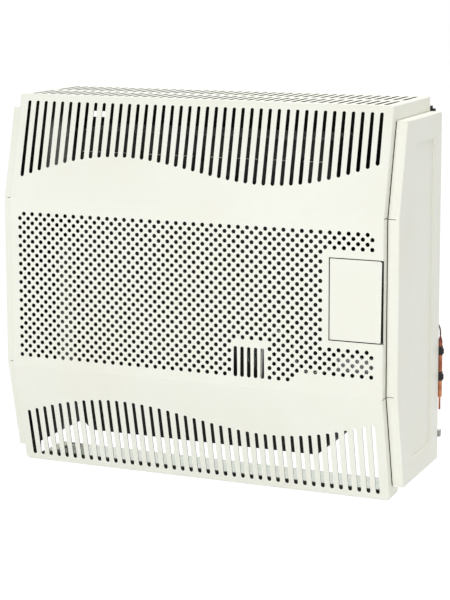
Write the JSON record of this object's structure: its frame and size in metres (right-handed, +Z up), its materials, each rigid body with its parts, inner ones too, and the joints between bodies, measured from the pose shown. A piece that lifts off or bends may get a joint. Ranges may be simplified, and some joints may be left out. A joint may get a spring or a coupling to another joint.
{
  "type": "wall mounted gas heater",
  "caption": "Wall hung gas convector heater in a folded, perforated white steel casing, with a hinged control door and a flue connection through the wall.",
  "frame": {"origin": "middle of the wall rail's rear face, on the wall plane, halfway along the heater", "axes": "+Z up, +Y into the wall, +X to the right as seen from the room, towards the controls"},
  "size_m": [0.7113, 0.25, 0.6365],
  "materials": {
    "cream_enamel": "cream white powder coat, satin",
    "galvanised_steel": "galvanised, matt grey",
    "black_steel": "black paint, satin",
    "chamber_enamel": "heat resistant black, matt",
    "steel": "plain steel",
    "aluminium": "cast or drawn, matt",
    "brass": "turned",
    "copper": "drawn copper, dull",
    "fibre_gasket": "pressed ceramic fibre",
    "rubber": "matt black",
    "black_plastic": "moulded, fine grain",
    "red_plastic": "moulded, glossy",
    "ceramic": "glazed white",
    "heat_glass": "clear, polished"
  },
  "bodies": {
    "casing": {"front_cover": "cream_enamel", "side_panel_right": "cream_enamel", "side_panel_left": "cream_enamel", "side_frame_right": "galvanised_steel", "side_frame_left": "galvanised_steel", "back_plate": "galvanised_steel", "lower_wall_rail": "galvanised_steel", "hanging_hook_left": "galvanised_steel", "hanging_hook_right": "galvanised_steel", "bottom_tray": "galvanised_steel", "chamber_stand_right": "galvanised_steel", "chamber_stand_left": "galvanised_steel", "air_collar": "galvanised_steel", "air_box": "galvanised_steel", "valve_bracket": "galvanised_steel", "control_bracket": "galvanised_steel", "wall_rail": "black_steel", "combustion_chamber": "chamber_enamel", "access_plate": "chamber_enamel", "cover_screw_left": "steel", "cover_screw_right": "steel", "flue_baffle": "steel", "access_screw_1": "steel", "access_screw_2": "steel", "access_screw_3": "steel", "access_screw_4": "steel", "sight_glass_frame": "steel", "burner_tube": "steel", "burner_support_left": "steel", "burner_support_right": "steel", "pilot_bracket": "steel", "gas_inlet_pipe": "steel", "door_hinge_pin": "steel", "door_lug_upper": "steel", "door_lug_lower": "steel", "exhaust_collar": "aluminium", "pilot_pipe": "aluminium", "burner_pipe": "aluminium", "gas_valve": "aluminium", "burner_injector": "brass", "pilot_burner": "brass", "inlet_nut": "brass", "thermocouple": "copper", "thermostat_capillary": "copper", "thermostat_bulb": "copper", "access_gasket": "fibre_gasket", "flue_seal": "rubber", "ignition_lead": "rubber", "bulb_clip_upper": "black_plastic", "bulb_clip_lower": "black_plastic", "piezo_igniter": "black_plastic", "door_magnet": "black_plastic", "spark_electrode": "ceramic", "sight_glass": "heat_glass"},
    "door": {"control_door": "cream_enamel"},
    "dial": {"dial_bush": "brass"},
    "knob": {"control_knob": "black_plastic", "control_spindle": "steel"},
    "button": {"piezo_button": "red_plastic"}
  },
  "joints": [
    {"name": "door_hinge", "type": "hinge", "parent": "casing", "child": "door", "pos_m": [0.327, -0.247, -0.264], "axis": [0, 0, 1], "range_deg": [0, 105]},
    {"name": "knob_turn", "type": "hinge", "parent": "casing", "child": "dial", "pos_m": [0.27, -0.183, -0.32], "axis": [0, 0, 1], "range_deg": [0, 270]},
    {"name": "knob_push", "type": "slide", "parent": "dial", "child": "knob", "axis": [0, 0, -1], "range_m": [0, 0.004], "stiffness_N_per_m": 1500, "springref_m": -0.003},
    {"name": "button_press", "type": "slide", "parent": "casing", "child": "button", "axis": [0, 1, 0], "range_m": [0, 0.006], "stiffness_N_per_m": 1200, "springref_m": -0.003}
  ]
}
